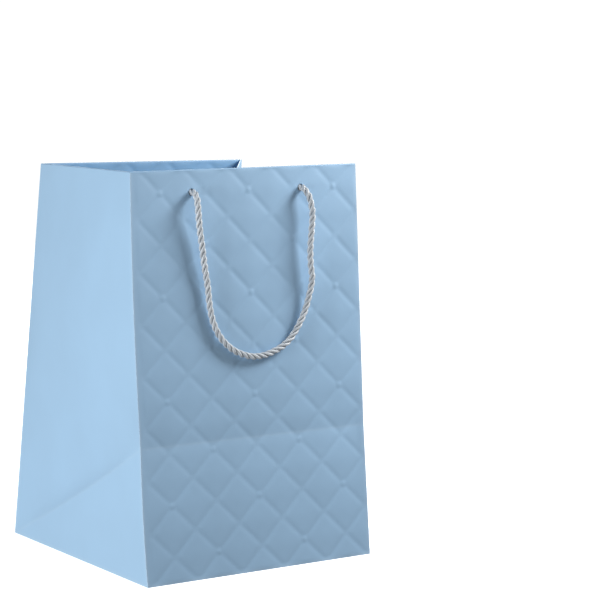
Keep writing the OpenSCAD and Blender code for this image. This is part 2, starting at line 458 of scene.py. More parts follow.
class BackWall(FrontWall):
    """Back wall, the same embossed panel standing straight, with a soft hollow and no crease."""

    hollow: float = 0.8 * MM
    hollow_top: float = 0.8
    facing: int = -1

    def base_line(self, u: Array, v: Array) -> Array:
        """Straight line from the right edge to the left one, as seen from the front."""
        return mix(self.form.back_edge(1, v), self.form.back_edge(-1, v), u)

    def inset(self, u: Array, v: Array) -> Array:
        """Shallow hollow, a product of two half sine waves."""
        up = np.clip(v / self.hollow_top, 0, 1)
        return self.hollow * np.sin(np.pi * u) * np.sin(np.pi * up)


class LeftGusset(Wall):
    """Left gusset: flat below the diagonal crease, hollow just above it and bulged higher up."""

    hollow: float = 6.5 * MM
    hollow_reach: float = 30 * MM
    bulge: float = 4.0 * MM
    slack_power: float = 0.8
    width: float = 190 * MM
    fold_ease: float = 0.3 * MM
    fold_reach: float = 6 * MM
    fold_start: float = 1.5 * MM

    def above_crease(self, u: Array, v: Array) -> Array:
        """Share of the way from the diagonal crease, v = u/3, up to the rim; 0 below the crease."""
        crease = u * self.form.crease
        return np.clip((v - crease) / (1 - crease), 0, 1)

    def sheet(self, u: Array, v: Array) -> Array:
        """Edge-to-edge line, with the twist held back below the crease and slack paper above it.

        With w the height over the crease and a its share of the way to the rim, the slack is
        sin(pi u)^power * (hollow * (w / reach) * exp(1 - w / reach) - bulge * sin^2(pi a)),
        inwards, and the last few millimetres before the front edge ease round to it.

        Args:
            u: Shares of the width, from the back edge to the front one.
            v: Shares of the height.

        Returns:
            Points of the outer face.
        """
        points = mix(self.form.back_edge(-1, v), self.form.front_edge(-1, v), u)
        above = self.above_crease(u, v)
        flat_x = self.form.low("front_panel")[0]
        twist = (points[..., 0] - flat_x) * above / np.maximum(v, 1e-6)
        held = np.where(points[..., 0] > flat_x, twist, points[..., 0] - flat_x)
        height = above * self.form.panel_height / self.hollow_reach
        across = np.sin(np.pi * np.clip(u, 0, 1)) ** self.slack_power
        dent = self.hollow * height * np.exp(1 - height)
        slack = across * (dent - self.bulge * np.sin(np.pi * above) ** 2)
        to_front = (1 - u) * self.width
        ease = self.fold_ease * np.clip(1 - to_front / self.fold_reach, 0, 1) ** 2
        points[..., 0] = flat_x + held + slack + ease * smoothstep(0, self.fold_start, to_front)
        return points


class RightGusset(Wall):
    """Right gusset, folded in along its middle above the V-shaped crease."""

    ease: float = 0.02

    def sheet(self, u: Array, v: Array) -> Array:
        """Edge-to-edge line, moved in by D * w * r, with w the way up from the crease.

        r is 1 - |2u - 1|, rounded at the middle: (a - sqrt((2u - 1)^2 + e^2)) / (a - e), with
        a^2 = 1 + e^2.

        Args:
            u: Shares of the width, from the front edge to the back one.
            v: Shares of the height.

        Returns:
            Points of the outer face.
        """
        points = mix(self.form.front_edge(1, v), self.form.back_edge(1, v), u)
        crease = (1 - u) * self.form.crease
        above = np.clip((v - crease) / (1 - crease), 0, 1)
        whole = math.hypot(1, self.ease)
        ridge = (whole - np.hypot(2 * u - 1, self.ease)) / (whole - self.ease)
        points[..., 0] -= self.form.fold_in * above * ridge
        points[..., 2] -= self.form.fold_drop * above**2 * ridge
        return points


# --- Sheets of the walls and their hems ----------------------------------------------------------


def spaced(stops: Sequence[float], pitch: float) -> Array:
    """Rising numbers through every stop, about a pitch apart between them.

    Args:
        stops: Numbers that have to be among them, in rising order.
        pitch: Distance to come near to.

    Returns:
        The numbers, from the first stop to the last.
    """
    runs = [
        np.linspace(a, b, max(1, round((b - a) / pitch)) + 1)[:-1]
        for a, b in zip(stops[:-1], stops[1:])
    ]
    return np.append(np.concatenate(runs), stops[-1])


@dataclass
class HolePunch:
    """A pair of round holes, made by drawing the grid's lines round them in rings."""

    spacing: float = 97 * MM
    drop: float = 16.5 * MM
    radius: float = 2.8 * MM
    shift: float = 0.0
    inner_rings: int = 3
    outer_rings: int = 8
    slip: float = 0.25

    def middle(self, side: int) -> float:
        """Distance across the wall to the middle of one hole."""
        return self.shift + side * self.spacing / 2

    def apply(self, x: Array, drop: Array, pitch: float) -> Array:
        """Bends grid lines near each hole from squares into circles, in place.

        A point at square distance s from a hole's middle moves to a mix of the circle in its
        direction and of itself, with weight k = (s - s0) / (s1 - s0). A cell is cut out when its
        middle lies inside the first ring by more than slip cells.

        Args:
            x: Distances across the wall from its middle, changed in place.
            drop: Distances down from the rim, changed in place.
            pitch: Distance between grid lines.

        Returns:
            Cells that are left, one fewer along each axis.
        """
        keep = np.ones((x.shape[0] - 1, x.shape[1] - 1), bool)
        start, end = self.inner_rings * pitch, self.outer_rings * pitch
        for side in (-1, 1):
            dx, dy = x - self.middle(side), drop - self.drop
            square = np.maximum(np.abs(dx), np.abs(dy))
            k = np.clip((square - start) / (end - start), 0, 1)
            shrink = self.radius / np.maximum(np.hypot(dx, dy), 1e-9)
            near = square < end
            scale = np.where(near, (1 - k) * shrink + k, 1)
            middle = (square[:-1, :-1] + square[1:, 1:] + square[1:, :-1] + square[:-1, 1:]) / 4
            keep &= middle > start - self.slip * pitch
            x += np.where(near, dx * (scale - 1), 0)
            drop += np.where(near, dy * (scale - 1), 0)
        return keep


def corner_offset(
    first: Array, second: Array, depth_first: float, depth_second: float
) -> Array:
    """Step inwards from the fold between two walls to where their inner faces meet.

    Args:
        first: Outward normals of one wall along the fold.
        second: Outward normals of the other wall.
        depth_first: Distance of the first wall's inner face.
        depth_second: Distance of the second wall's inner face.

    Returns:
        Vectors m with m . first = -depth_first and m . second = -depth_second.
    """
    c = np.sum(first * second, axis=-1, keepdims=True)
    along_first = (depth_first - c * depth_second) * first
    along_second = (depth_second - c * depth_first) * second
    return -(along_first + along_second) / (1 - c**2)


def row_width(wall: Wall, v: float) -> float:
    """Straight distance between a wall's two edges at one height."""
    row = np.full(1, v)
    return float(np.linalg.norm(wall.sheet(np.ones(1), row) - wall.sheet(np.zeros(1), row)))


@dataclass
class WallPiece:
    """One wall as a sheet of paper, with the fold over its rim left to the hem.

    width is the distance that the paler folds, part crease whitening and part painted highlight,
    are measured with. From spread_from of the half width outwards, the grid's columns, straight at
    the holes, turn to follow the wall's side edges.
    """

    name: str
    node: str
    wall: Wall
    before: Wall
    after: Wall
    rolled: float
    pitch: float = 1.25 * MM
    punch: HolePunch | None = None
    width: float = 190 * MM
    spread_from: float = 0.75
    whitening_and_highlight_fade: float = 0.9 * MM
    crease_whitening_and_highlight: float = 0.3

    def grid(self) -> tuple[Array, Array, Array | None]:
        """Works out the grid, with lines through the crease and through the holes' middles.

        Returns:
            u, v and the cells that the holes leave, or None where there are no holes.
        """
        form, height = self.wall.form, self.wall.form.panel_height
        top = 1 - self.rolled / height
        if self.punch is None:
            u = spaced((0, 0.5, 1), self.pitch / row_width(self.wall, 0))
            v = spaced((0, top), self.pitch / height)
            return (*np.meshgrid(u, v, indexing="ij"), None)
        half = form.high("front_panel")[0]
        x = spaced((-half, self.punch.middle(-1), self.punch.middle(1), half), self.pitch)
        hole = 1 - self.punch.drop / height
        v = spaced((0, form.crease, hole, top), self.pitch / height)
        x, v = np.meshgrid(x, v, indexing="ij")
        drop = (1 - v) * height
        keep = self.punch.apply(x, drop, self.pitch)
        v = 1 - drop / height
        u = 0.5 + x / self.wall.width_at(v)
        stretch = np.interp(np.abs(x), [0, self.spread_from * half, half], [0, 0, 1])
        u = u * (1 - stretch) + (0.5 + x / (2 * half)) * stretch
        return u, v, keep

    def build(self) -> bpy.types.Object:
        """Makes the sheet, with mitred inner corners that meet those of its neighbours.

        Returns:
            The wall's object, which stands for its node.
        """
        paper = self.wall.form.paper
        u, v, keep = self.grid()
        outer = self.wall.place(u, v)
        normal = self.wall.normal(u, v)
        inner = outer - paper * normal
        for column, neighbour, edge in ((0, self.before, 1.0), (-1, self.after, 0.0)):
            rows = v[column]
            beside = neighbour.sheet_normal(np.full_like(rows, edge), rows)
            inner[column] = outer[column] + corner_offset(normal[column], beside, paper, paper)
        piece, used = thick_sheet(self.name, outer, inner, keep)
        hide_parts(self.node)
        # Paler along the folds, stored as the crease attribute: part crease whitening, part painted
        # highlight.
        whitening_and_highlight_fade = np.concatenate([self.whitening_and_highlight_at(u, v).ravel()] * 2)[used]
        set_attribute(piece, "crease", whitening_and_highlight_fade)
        return piece

    def whitening_and_highlight_at(self, u: Array, v: Array) -> Array:
        """Paleness of the paper, part crease whitening and part painted highlight: 1 on a fold, and
        exp(-distance / whitening_and_highlight_fade) beside it.

        Args:
            u: Shares of the width.
            v: Shares of the height.

        Returns:
            Paleness, with the flat-fold crease's times crease_whitening_and_highlight.
        """
        height = self.wall.form.panel_height
        from_side = np.minimum(u, 1 - u) * self.width
        from_crease = np.abs(v - self.crease_line(u)) * height
        from_base = v * height
        # Painted highlight along the folded sides and the base, with real crease whitening.
        folds = np.exp(-np.minimum(from_side, from_base) / self.whitening_and_highlight_fade)
        return np.maximum(folds, self.crease_whitening_and_highlight * np.exp(-from_crease / self.whitening_and_highlight_fade))

    def crease_line(self, u: Array) -> Array:
        """Height of the flat-fold crease: level on the front and slanted on the gussets.

        Args:
            u: Shares of the width.

        Returns:
            Shares of the height, far below the base on the back wall, which has no crease.
        """
        crease = self.wall.form.crease
        if isinstance(self.wall, BackWall):
            return np.full_like(u, -1)
        if isinstance(self.wall, FrontWall):
            return np.full_like(u, crease)
        return (u if isinstance(self.wall, LeftGusset) else 1 - u) * crease


@dataclass
class HemPiece:
    """The paper that rolls over the rim of a wall and lies down inside it."""

    name: str
    node: str
    wall: Wall
    before: Wall
    after: Wall
    depth: float
    depth_before: float
    depth_after: float
    length: float = 40 * MM
    pitch: float = 1.25 * MM
    corner_gap: float = 5 * MM
    roll_points: int = 9
    settle: float = 3 * MM
    punch: HolePunch | None = None

    def profile(self, w: Array, radius: float) -> tuple[Array, Array]:
        """Section of the hem: half a circle over the rim, then straight down.

        Args:
            w: Distance along the hem's middle from where it leaves the wall.
            radius: Radius of the half circle, which is smaller for the face next to the card.

        Returns:
            Depth behind the outer face and drop below the rim.
        """
        roll = self.depth / 2
        turn = np.clip(w / roll, 0, np.pi)
        down = np.maximum(w - np.pi * roll, 0)
        return roll - radius * np.cos(turn), roll - radius * np.sin(turn) + down

    def build(self) -> bpy.types.Object:
        """Sweeps the section along the rim, with mitred ends.

        Returns:
            The hem's object, which stands for its node.
        """
        form = self.wall.form
        roll = self.depth / 2
        width = row_width(self.wall, 1)
        side = self.corner_gap / width
        middles, down = [0.5], []
        if self.punch is not None:
            middles = [0.5 + self.punch.middle(end) / width for end in (-1, 1)]
            down = [self.punch.drop - roll]
        u = np.concatenate([[0], spaced((side, *middles, 1 - side), self.pitch / width), [1]])
        leaf = spaced((0, *down, self.length - roll), self.pitch)
        over = np.linspace(0, np.pi * roll, self.roll_points)[:-1]
        w = np.concatenate([over, np.pi * roll + leaf])
        u, w = np.meshgrid(u, w, indexing="ij")
        keep = None
        if self.punch is not None:
            x, drop = (u - 0.5) * width, roll + w - np.pi * roll
            keep = self.punch.apply(x, drop, self.pitch)
            u, w = 0.5 + x / width, drop - roll + np.pi * roll
        faces = [self.face(u, w, radius) for radius in (roll, roll - form.paper)]
        piece, used = thick_sheet(self.name, faces[0], faces[1], keep)
        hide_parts(self.node)
        # Paler along the top of the roll, stored as the crease attribute: painted highlight on the
        # rim, with some crease whitening.
        rolled = np.exp(-np.abs(w - np.pi * roll / 2) / roll)
        set_attribute(piece, "crease", np.concatenate([rolled.ravel()] * 2)[used])
        return piece

    def face(self, u: Array, w: Array, radius: float) -> Array:
        """One face of the hem, at the section's depth behind the wall and embossed like it.

        Args:
            u: Shares of the width.
            w: Distance along the hem's middle from where it leaves the wall.
            radius: Radius of this face's half circle.

        Returns:
            Points of the face.
        """
        depth, drop = self.profile(w, radius)
        v = 1 - drop / self.wall.form.panel_height
        on_leaf = smoothstep(0, self.settle, w - np.pi * self.depth / 2)
        inward = -self.wall.sheet_normal(u, v) * self.depth
        for column, neighbour, edge, other in (
            (0, self.before, 1.0, self.depth_before),
            (-1, self.after, 0.0, self.depth_after),
        ):
            beside = neighbour.sheet_normal(np.full_like(v[column], edge), v[column])
            inward[column] = corner_offset(-inward[column] / self.depth, beside, self.depth, other)
        raised = depth / self.depth + on_leaf * self.wall.relief(u, v) / self.depth
        return self.wall.sheet(u, v) + inward * raised[..., None]


# --- Ropes and knots -----------------------------------------------------------------------------


# Samples of a smooth line between two of its points, before it is resampled.
CURVE_SAMPLES = 24

# A direction that no rope starts along, so that its first frame is never degenerate.
SKEW = (0.31, 0.52, 0.79)


def smooth_line(points: Array, step: float) -> Array:
    """Catmull-Rom curve through points, resampled at even steps of length.

    Args:
        points: Points that the curve passes through, (n, 3).
        step: Distance between the samples.

    Returns:
        Points along the curve, from the first point to the last.
    """
    padded = np.concatenate([[2 * points[0] - points[1]], points, [2 * points[-1] - points[-2]]])
    t = np.linspace(0, 1, CURVE_SAMPLES, endpoint=False)[None, :, None]
    a, b, c, d = (padded[i : len(padded) - 3 + i, None, :] for i in range(4))
    square, cube = 2 * a - 5 * b + 4 * c - d, 3 * b - a - 3 * c + d
    curve = 0.5 * (2 * b + (c - a) * t + square * t**2 + cube * t**3)
    curve = np.concatenate([curve.reshape(-1, 3), points[-1:]])
    run = np.concatenate([[0], np.cumsum(np.linalg.norm(np.diff(curve, axis=0), axis=1))])
    even = np.linspace(0, run[-1], max(2, round(run[-1] / step)) + 1)
    return np.stack([np.interp(even, run, curve[:, axis]) for axis in range(3)], axis=-1)


def carried_frames(line: Array) -> tuple[Array, Array, Array]:
    """Directions carried along a line without twist.

    Args:
        line: Points, (n, 3).

    Returns:
        Tangents and two normals, so that each triple is right-handed.
    """
    tangent = unit(np.gradient(line, axis=0))
    normal = np.empty_like(line)
    start = np.cross(tangent[0], SKEW)
    normal[0] = start / np.linalg.norm(start)
    for i in range(1, len(line)):
        carried = normal[i - 1] - tangent[i] * np.dot(normal[i - 1], tangent[i])
        normal[i] = carried / np.linalg.norm(carried)
    return tangent, normal, np.cross(tangent, normal)


@dataclass
class LaidRope:
    """Three strands laid right-handed round each other, as in twisted satin cord.

    flare opens the strands over the last flare_length of a cut end. The caps are the tips that
    close a strand: start_cap in steps of length and end_cap in strand radii.
    """

    diameter: float = 5 * MM
    lay: float = 16.5 * MM
    step: float = 0.7 * MM
    strands: int = 3
    sides: int = 14
    strand_share: float = 0.232
    flare: float = 0.0
    flare_length: float = 5 * MM
    flare_power: float = 1.5
    start_cap: float = 0.3
    end_cap: float = 0.5
    sharp_deg: float = 75

    def build(self, name: str, points: Array) -> tuple[bpy.types.Object, Array]:
        """Lays the strands along a smooth line through points.

        Strand k turns round the line at radius c by 2 pi (s / lay + k / 3) at length s, and its
        section is an ellipse, widened along the turn by the slant of the strand.

        Args:
            name: Name of the object.
            points: Points along the rope's middle.

        Returns:
            The object and the line that it follows.
        """
        line = smooth_line(points, self.step)
        _, side, over = carried_frames(line)
        length = self.step * np.arange(len(line))
        radius = self.strand_share * self.diameter
        centre = self.diameter / 2 - radius
        slant = math.hypot(1, 2 * math.pi * centre / self.lay)
        to_end = (length - length[-1] + self.flare_length) / self.flare_length
        open_up = 1 + self.flare * np.clip(to_end, 0, 1) ** self.flare_power
        tables, vertices, wraps, runs = [], [], [], []
        around = 2 * np.pi * np.arange(self.sides) / self.sides
        for strand in range(self.strands):
            turn = 2 * np.pi * (length / self.lay + strand / self.strands)
            out = np.cos(turn)[:, None] * side + np.sin(turn)[:, None] * over
            along = -np.sin(turn)[:, None] * side + np.cos(turn)[:, None] * over
            middle = line + out * (centre * open_up)[:, None]
            ring = (
                middle[:, None]
                + radius * np.cos(around)[None, :, None] * out[:, None]
                + radius * slant * np.sin(around)[None, :, None] * along[:, None]
            )
            start = middle[0] - self.start_cap * self.step * unit(line[1] - line[0])
            end = middle[-1] + self.end_cap * unit(line[-1] - line[-2]) * radius
            offset = sum(len(part) for part in vertices)
            rings = len(line)
            index = offset + np.arange(rings * self.sides).reshape(rings, self.sides)
            beside = np.roll(index, -1, axis=1)
            quads = np.stack([index[:-1], beside[:-1], beside[1:], index[1:]], axis=-1)
            first = np.full(self.sides, offset + rings * self.sides)
            tables.append(quads.reshape(-1, 4))
            tables.append(np.stack([beside[0], index[0], first], axis=-1))
            tables.append(np.stack([index[-1], beside[-1], first + 1], axis=-1))
            vertices += [ring.reshape(-1, 3), np.stack([start, end])]
            wraps += [np.tile(around / (2 * np.pi), rings), np.zeros(2)]
            run = np.repeat(length * slant / (2 * np.pi * radius), self.sides)
            runs += [run, np.array([0, length[-1] / radius])]
        rope = new_object(name, np.concatenate(vertices), tables, self.sharp_deg)
        self.write_fibre_map(rope, np.concatenate(wraps), np.concatenate(runs))
        return rope, line

    def write_fibre_map(self, rope: bpy.types.Object, wrap: Array, run: Array) -> None:
        """Writes a UV map of turns round the strand against length in the same unit.

        A face that crosses the map's seam has its low corners raised by a whole turn.

        Args:
            rope: Mesh object of the strands.
            wrap: Turns round the strand at each vertex, 0 to 1.
            run: Length along the strand at each vertex, in turns.
        """
        mesh = rope.data
        corner = np.empty(len(mesh.loops), dtype=np.int32)
        mesh.loops.foreach_get("vertex_index", corner)
        starts = np.empty(len(mesh.polygons), dtype=np.int32)
        mesh.polygons.foreach_get("loop_start", starts)
        face_of = np.repeat(np.arange(len(starts)), np.diff(np.append(starts, len(corner))))
        u = wrap[corner]
        highest = np.maximum.reduceat(u, starts)[face_of]
        u = np.where(highest - u > 0.5, u + 1, u)
        layer = mesh.uv_layers.new(name="fibre")
        places = np.stack([u, run[corner]], axis=-1).astype(np.float32)
        layer.uv.foreach_set("vector", places.ravel())


@dataclass(frozen=True)
class HandlePlace:
    """Frame of a wall that carries a handle: the rim's middle, its lean and its facing."""

    origin: tuple[float, float, float]
    lean: float
    behind: bool = False

    def world(self, points: Array) -> Array:
        """Points given across, inwards and up the wall, in the row's frame.

        Args:
            points: (n, 3), in metres, with across from left to right as one faces the wall.

        Returns:
            The same points in the row's frame.
        """
        c, s = math.cos(self.lean), math.sin(self.lean)
        leaned = points @ np.array([[1, 0, 0], [0, c, -s], [0, s, c]])
        turned = [-1, -1, 1] if self.behind else [1, 1, 1]
        return leaned * turned + np.array(self.origin)


# Route of a handle in front of its wall, in millimetres: across, out from the wall, down from
# the holes.
HANDLE_ROUTE = np.array(
    [
        (-48.5, 4.3, 1.15), (-48.9, 7.0, 3.7), (-49.2, 8.4, 7.2), (-49.1, 8.6, 12),
        (-47.5, 7.3, 26), (-45, 6.0, 41), (-43, 5.2, 55), (-40.5, 4.4, 69), (-39, 3.8, 83),
        (-36, 3.4, 96), (-29.5, 3.2, 108), (-19.5, 3.2, 117), (-8, 3.2, 122), (2, 3.2, 123.5),
        (13, 3.2, 122), (27.5, 3.3, 116), (37, 3.7, 106.5), (44.5, 4.5, 94), (49, 5.5, 81),
        (51.5, 6.5, 69), (50.2, 7.2, 58), (49.8, 7.9, 46), (51, 8.5, 33), (52.2, 8.8, 20),
        (51.2, 8.7, 12), (50, 8.4, 7.2), (49, 7.0, 3.7), (48.5, 4.3, 1.15),
    ]
)

# Run of the rope from its knot out through a hole, in millimetres: in from the wall, down from
# the hole.
HOLE_RUN = np.array([(5, 0), (2.2, 0), (-0.6, 0), (-3.8, 0.4)])


@dataclass
class RopeHandle:
    """One handle: the rope that hangs outside the wall and the two knots that hold it inside.

    swing_from and swing_over mark two points below the holes, which build works out and leaves
    unused.
    """

    name: str
    node: str
    place: HandlePlace
    body: Body
    knots: tuple[str, str]
    hole_drop: float = 16.5 * MM
    hole_reach: float = 48.5 * MM
    length: float = 320 * MM
    swing_from: float = 1 * MM
    swing_over: float = 14 * MM
    knot_ring: float = 2.9 * MM
    knot_lift: float = 1.9 * MM
    knot_depth: float = 6.8 * MM
    knot_turn: tuple[float, float] = (0.5, 4 * math.pi + 0.02)
    knot_points: int = 40
    tail: float = 17 * MM
    tail_out: float = 0.6 * MM
    tail_back: float = 1.6 * MM
    rope: LaidRope = field(default_factory=LaidRope)
    tied: LaidRope = field(
        default_factory=lambda: LaidRope(
            diameter=4.3 * MM, lay=11 * MM, step=0.6 * MM, sides=10, flare=0.7
        )
    )

    def local_route(self) -> Array:
        """Carries the route on at both ends, through the holes and into the knots.

        Returns:
            Points across, inwards and up the wall, (n, 3), in metres.
        """
        edge, level = self.hole_reach / MM, -self.hole_drop / MM
        across, out, down = HANDLE_ROUTE.T
        route = np.stack([across, -out, -down + level], axis=-1)
        inwards, sunk = HOLE_RUN.T
        entry = np.stack([np.full_like(inwards, -edge), inwards, level - sunk], axis=-1)
        leave = entry[::-1] * [-1, 1, 1]
        return np.concatenate([entry, route, leave]) * MM

    def build(self, material: bpy.types.Material) -> None:
        """Args:
            material: Finish of the rope.
        """
        rope, line = self.rope.build(self.name, self.place.world(self.local_route()))
        dress(rope, material, None)
        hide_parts(self.node)
        ties = [self.knot(side, node, material) for side, node in zip((-1, 1), self.knots)]
        hole = np.array([[-self.hole_reach, 0, -self.hole_drop]])
        self.place.world(hole)[0].tolist()
        start, end = (
            self.place.world(np.array([[0, 0, -self.hole_drop - drop]]))[0].tolist()
            for drop in (self.swing_from, self.swing_from + self.swing_over)
        )
        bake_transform(rope)

    def knot(self, side: int, node: str, material: bpy.types.Material) -> bpy.types.Object:
        """Overhand knot pulled tight behind the hem, with a tail that hangs from it.

        The knot is a trefoil: at angle a its radius is R + r cos(1.5 a) and its depth r sin(1.5 a).

        Args:
            side: -1 for the left hole and 1 for the right one.
            node: Knot of the frame that this piece stands for.
            material: Finish of the rope.

        Returns:
            The knot's object.
        """
        turn = np.linspace(*self.knot_turn, self.knot_points)
        reach = self.knot_ring + self.knot_lift * np.cos(1.5 * turn)
        depth = self.knot_lift * np.sin(1.5 * turn)
        across, up = reach * np.cos(turn + np.pi), reach * np.sin(turn + np.pi)
        ring = np.stack([across, depth, up], axis=-1)
        steps = np.array([0.25, 0.5, 0.75, 1.0])
        hang = [self.tail_out * side * steps, -self.tail_back * steps, -self.tail * steps]
        path = np.concatenate([ring, ring[-1] + np.stack(hang, axis=-1)])
        centre = np.array([side * self.hole_reach, self.knot_depth, -self.hole_drop])
        name = f"{self.name}_knot_{'left' if side < 0 else 'right'}"
        knot, _ = self.tied.build(name, self.place.world(path + centre))
        dress(knot, material, Body.BAG)
        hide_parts(node)
        return knot


# --- Finishes ------------------------------------------------------------------------------------


def add_node(
    tree: bpy.types.NodeTree, kind: str, inputs: dict[Any, Any] | None = None, **settings: Any
) -> Any:
    """Adds a node with its settings, socket values and links.

    Args:
        tree: Node tree that takes the node.
        kind: Type of the node, without the ShaderNode that each of them starts with.
        inputs: Socket name or number to a value, or to an output socket that is linked.
        settings: Properties of the node.

    Returns:
        The new node.
    """
    made = tree.nodes.new(f"ShaderNode{kind}")
    for key, value in settings.items():
        setattr(made, key, value)
    for key, value in (inputs or {}).items():
        if isinstance(value, bpy.types.NodeSocket):
            tree.links.new(value, made.inputs[key])
        else:
            made.inputs[key].default_value = value
    return made


def blank_material(name: str) -> tuple[bpy.types.Material, Callable[..., Any]]:
    """Makes a material with an empty tree.

    Args:
        name: Name of the finish.

    Returns:
        The material, and add_node for its tree.
    """
    material = bpy.data.materials.new(name)
    material.use_nodes = True
    material.node_tree.nodes.clear()
    return material, partial(add_node, material.node_tree)


@dataclass(frozen=True)
class LaminatedPaper:
    """Dyed art paper under a matt film: soft sheen, faint fibre and paler folds, part crease
    whitening and part painted highlight.

    cloud is how far its tone drifts, whitening_and_highlight_share how much of the paler colour,
    part crease whitening and part painted highlight, shows on a fold, and rough_spread how far its
    roughness strays.
    """

    name: str
    colour: str
    whitening_and_highlight_colour: str
    roughness: float = 0.52
    rough_spread: float = 0.06
    ior: float = 1.48
    cloud: float = 0.03
    cloud_mm: float = 1000 / 22
    cloud_range: tuple[float, float] = (0.3, 0.7)
    fibre_mm: float = 0.7
    bump_mm: float = 0.02
    sheen: float = 0.12
    sheen_roughness: float = 0.5
    whitening_and_highlight_share: float = 0.35
    folds: bool = True

    def make(self) -> bpy.types.Material:
        """Builds the paper's nodes.

        Returns:
            The finish.
        """
        material, add = blank_material(self.name)
        place = add("TexCoord").outputs["Object"]
        cloud_scale, fibre_scale = 1 / (self.cloud_mm * MM), 1 / (self.fibre_mm * MM)
        clouds = add("TexNoise", {"Vector": place, "Scale": cloud_scale, "Detail": 4.0})
        limits = {"From Min": self.cloud_range[0], "From Max": self.cloud_range[1]}
        drift = {"To Min": 1 - self.cloud, "To Max": 1 + self.cloud}
        tone = add("MapRange", {"Value": clouds.outputs[0], **limits, **drift}).outputs[0]
        dyed = {"Factor": 1.0, "A": linear(self.colour), "B": tone}
        colour = add("Mix", dyed, data_type="RGBA", blend_type="MULTIPLY").outputs["Result"]
        # Paler folds from the crease attribute: part crease whitening, part painted highlight on
        # the folded edges.
        if self.folds:
            fold = add("Attribute", attribute_name="crease").outputs["Fac"]
            share = add("Math", {0: fold, 1: self.whitening_and_highlight_share}, operation="MULTIPLY", use_clamp=True)
            faded = {"Factor": share.outputs[0], "A": colour, "B": linear(self.whitening_and_highlight_colour)}
            colour = add("Mix", faded, data_type="RGBA").outputs["Result"]
        fibre = add("TexNoise", {"Vector": place, "Scale": fibre_scale, "Detail": 3.0}).outputs[0]
        low, high = self.roughness - self.rough_spread, self.roughness + self.rough_spread
        rough = add("MapRange", {"Value": fibre, "To Min": low, "To Max": high})
        bump = add("Bump", {"Height": fibre, "Distance": self.bump_mm * MM, "Strength": 1.0})
        shader = add(
            "BsdfPrincipled",
            {
                "Base Color": colour,
                "Roughness": rough.outputs[0],
                "Normal": bump.outputs[0],
                "IOR": self.ior,
                "Sheen Weight": self.sheen,
                "Sheen Roughness": self.sheen_roughness,
            },
        )
        add("OutputMaterial", {"Surface": shader.outputs[0]})
        return material


@dataclass(frozen=True)
class GreyBoard:
    """Uncoated board of recycled fibre: grey-brown, flecked and quite rough."""

    name: str = "recycled_grey_board"
    colour: str = "#A9A59C"
    fleck: str = "#77736B"
    fleck_mm: float = 1.1
    fleck_range: tuple[float, float] = (0.58, 0.72)
    fleck_share: float = 0.7
    bump_mm: float = 0.05
    roughness: float = 0.88

    def make(self) -> bpy.types.Material:
        """Builds the board's nodes.

        Returns:
            The finish.
        """
        material, add = blank_material(self.name)
        place = add("TexCoord").outputs["Object"]
        grain = {"Scale": 1 / (self.fleck_mm * MM), "Detail": 5.0, "Roughness": 0.7}
        flecks = add("TexNoise", {"Vector": place, **grain}).outputs[0]
        limits = {"From Min": self.fleck_range[0], "From Max": self.fleck_range[1]}
        share = add("MapRange", {"Value": flecks, **limits, "To Max": self.fleck_share})
        pulp = {"Factor": share.outputs[0], "A": linear(self.colour), "B": linear(self.fleck)}
        colour = add("Mix", pulp, data_type="RGBA").outputs["Result"]
        bump = add("Bump", {"Height": flecks, "Distance": self.bump_mm * MM, "Strength": 1.0})
        surface = {"Base Color": colour, "Roughness": self.roughness, "Normal": bump.outputs[0]}
        add("OutputMaterial", {"Surface": add("BsdfPrincipled", surface).outputs[0]})
        return material


